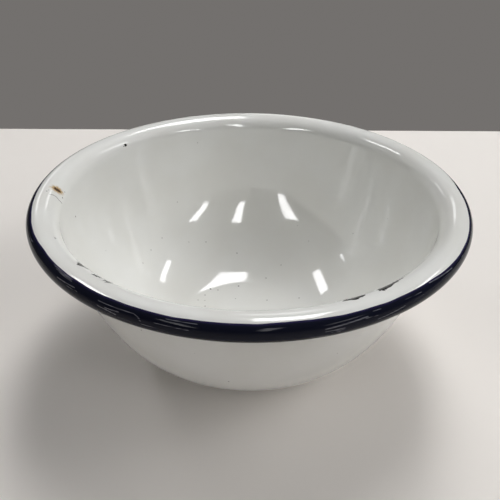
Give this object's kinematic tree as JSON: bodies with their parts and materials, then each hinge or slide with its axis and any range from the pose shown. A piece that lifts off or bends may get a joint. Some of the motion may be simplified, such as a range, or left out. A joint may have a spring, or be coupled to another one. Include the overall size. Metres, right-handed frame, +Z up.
{
  "type": "enamelled evaporating dish",
  "caption": "Round dish of enamelled sheet steel for heating or holding liquids, with a flat base, rounded wall, out-turned lip and a dark band on its hollow rolled rim.",
  "frame": {"origin": "centre of the flat base's underside, on the surface that the dish stands on", "axes": "+Z up along the dish's axis of revolution; +X and +Y lie in the base, and -Y faces the reference view"},
  "size_m": [0.1954, 0.1954, 0.0845],
  "materials": {
    "steel": "pressed low-carbon sheet, rusty where bared",
    "ground_enamel": "thin black vitreous ground coat",
    "white_enamel": "high-gloss white vitreous enamel",
    "rim_enamel": "high-gloss dark navy vitreous enamel"
  },
  "bodies": {
    "root": {"steel_shell": "steel", "inner_ground_coat": "ground_enamel", "outer_ground_coat": "ground_enamel", "inner_enamel": "white_enamel", "outer_enamel": "white_enamel", "rim_band": "rim_enamel"}
  },
  "joints": []
}
